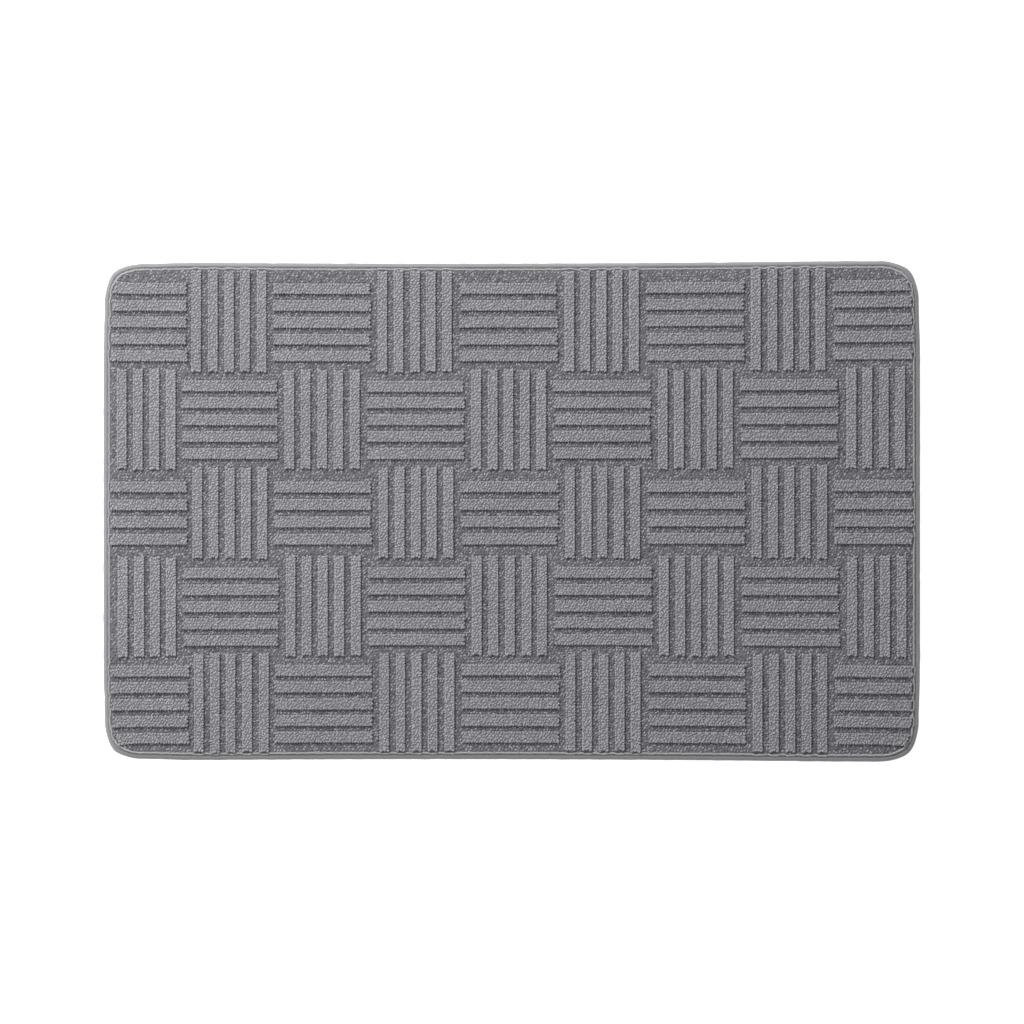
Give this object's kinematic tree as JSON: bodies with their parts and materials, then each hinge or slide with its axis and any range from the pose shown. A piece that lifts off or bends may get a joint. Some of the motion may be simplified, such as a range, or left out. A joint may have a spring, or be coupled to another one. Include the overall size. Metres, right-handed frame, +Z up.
{
  "type": "bath mat",
  "caption": "Rectangular cushioned bath mat with rounded corners, a basket-weave pattern of raised pile ribs, a smooth bound edge and a non-slip backing.",
  "frame": {"origin": "on the floor, under the middle of the mat", "axes": "+X along the mat's length, +Y across it towards the back edge, +Z up out of the pile"},
  "size_m": [0.864, 0.527, 0.016],
  "materials": {
    "pile": "short looped microfibre pile, matt, mid grey",
    "overlock": "overlocked yarn edge, slightly glossy, light grey",
    "binding": "smooth fine knit tape, soft sheen, grey",
    "thread": "polyester sewing thread, satin, grey",
    "foam": "open-cell memory foam, matt, off-white",
    "base_cloth": "plain woven lining, matt, grey",
    "backing_rubber": "moulded non-slip rubber, matt, dark grey"
  },
  "bodies": {
    "root": {"grip_backing": "backing_rubber", "base_cloth": "base_cloth", "foam_core": "foam", "edge_binding": "binding", "seam_thread_top": "thread", "seam_thread_under": "thread", "edge_overlock": "overlock", "pile_ground": "pile", "pile_ribs_row1_col1": "pile", "pile_ribs_row1_col2": "pile", "pile_ribs_row1_col3": "pile", "pile_ribs_row1_col4": "pile", "pile_ribs_row1_col5": "pile", "pile_ribs_row1_col6": "pile", "pile_ribs_row1_col7": "pile", "pile_ribs_row1_col8": "pile", "pile_ribs_row1_col9": "pile", "pile_ribs_row2_col1": "pile", "pile_ribs_row2_col2": "pile", "pile_ribs_row2_col3": "pile", "pile_ribs_row2_col4": "pile", "pile_ribs_row2_col5": "pile", "pile_ribs_row2_col6": "pile", "pile_ribs_row2_col7": "pile", "pile_ribs_row2_col8": "pile", "pile_ribs_row2_col9": "pile", "pile_ribs_row3_col1": "pile", "pile_ribs_row3_col2": "pile", "pile_ribs_row3_col3": "pile", "pile_ribs_row3_col4": "pile", "pile_ribs_row3_col5": "pile", "pile_ribs_row3_col6": "pile", "pile_ribs_row3_col7": "pile", "pile_ribs_row3_col8": "pile", "pile_ribs_row3_col9": "pile", "pile_ribs_row4_col1": "pile", "pile_ribs_row4_col2": "pile", "pile_ribs_row4_col3": "pile", "pile_ribs_row4_col4": "pile", "pile_ribs_row4_col5": "pile", "pile_ribs_row4_col6": "pile", "pile_ribs_row4_col7": "pile", "pile_ribs_row4_col8": "pile", "pile_ribs_row4_col9": "pile", "pile_ribs_row5_col1": "pile", "pile_ribs_row5_col2": "pile", "pile_ribs_row5_col3": "pile", "pile_ribs_row5_col4": "pile", "pile_ribs_row5_col5": "pile", "pile_ribs_row5_col6": "pile", "pile_ribs_row5_col7": "pile", "pile_ribs_row5_col8": "pile", "pile_ribs_row5_col9": "pile"}
  },
  "joints": []
}
